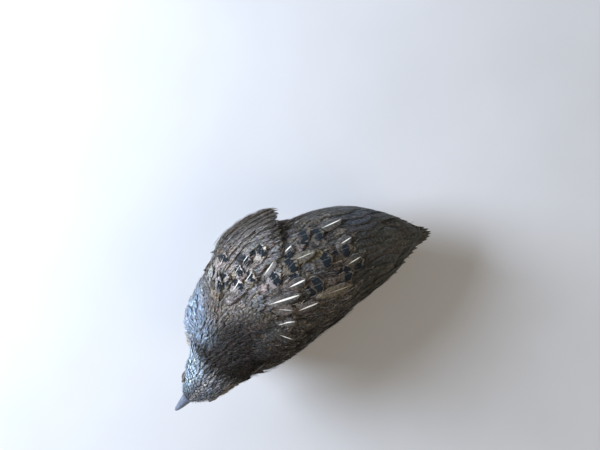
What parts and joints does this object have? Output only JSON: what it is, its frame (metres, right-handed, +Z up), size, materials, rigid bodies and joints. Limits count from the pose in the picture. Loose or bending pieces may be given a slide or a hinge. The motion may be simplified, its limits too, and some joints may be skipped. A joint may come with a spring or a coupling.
{
  "type": "coturnix quail",
  "caption": "Life-size quail resting on its belly with folded wings, its head turned to its left and its bill lowered; a still figure of a ground bird.",
  "frame": {"origin": "on the flat under the belly, below the middle of the trunk", "axes": "+X forward along the trunk, from tail to breast; +Y to the bird's left; +Z up"},
  "size_m": [0.1522, 0.083, 0.0763],
  "materials": {
    "breast_feathers": "soft buff and brown body feathers",
    "head_feathers": "short, close, cool brown feathers",
    "back_feathers": "dark brown feathers with cream shaft streaks and black patches",
    "wing_feathers": "grey-brown folded wing feathers",
    "tail_feathers": "dark grey-brown barred feathers",
    "bill": "smooth blue-grey horn",
    "eye": "wet dark brown eye",
    "leg": "dull flesh-coloured scaled skin and horn claws"
  },
  "bodies": {
    "root": {"torso": "breast_feathers", "neck": "head_feathers", "head": "head_feathers", "bill_upper": "bill", "bill_lower": "bill", "tail": "tail_feathers", "eye_left": "eye", "wing_left": "wing_feathers", "scapulars_left": "back_feathers", "thigh_left": "breast_feathers", "shank_left": "leg", "foot_left": "leg", "eye_right": "eye", "wing_right": "wing_feathers", "scapulars_right": "back_feathers", "thigh_right": "breast_feathers", "shank_right": "leg", "foot_right": "leg"}
  },
  "joints": []
}
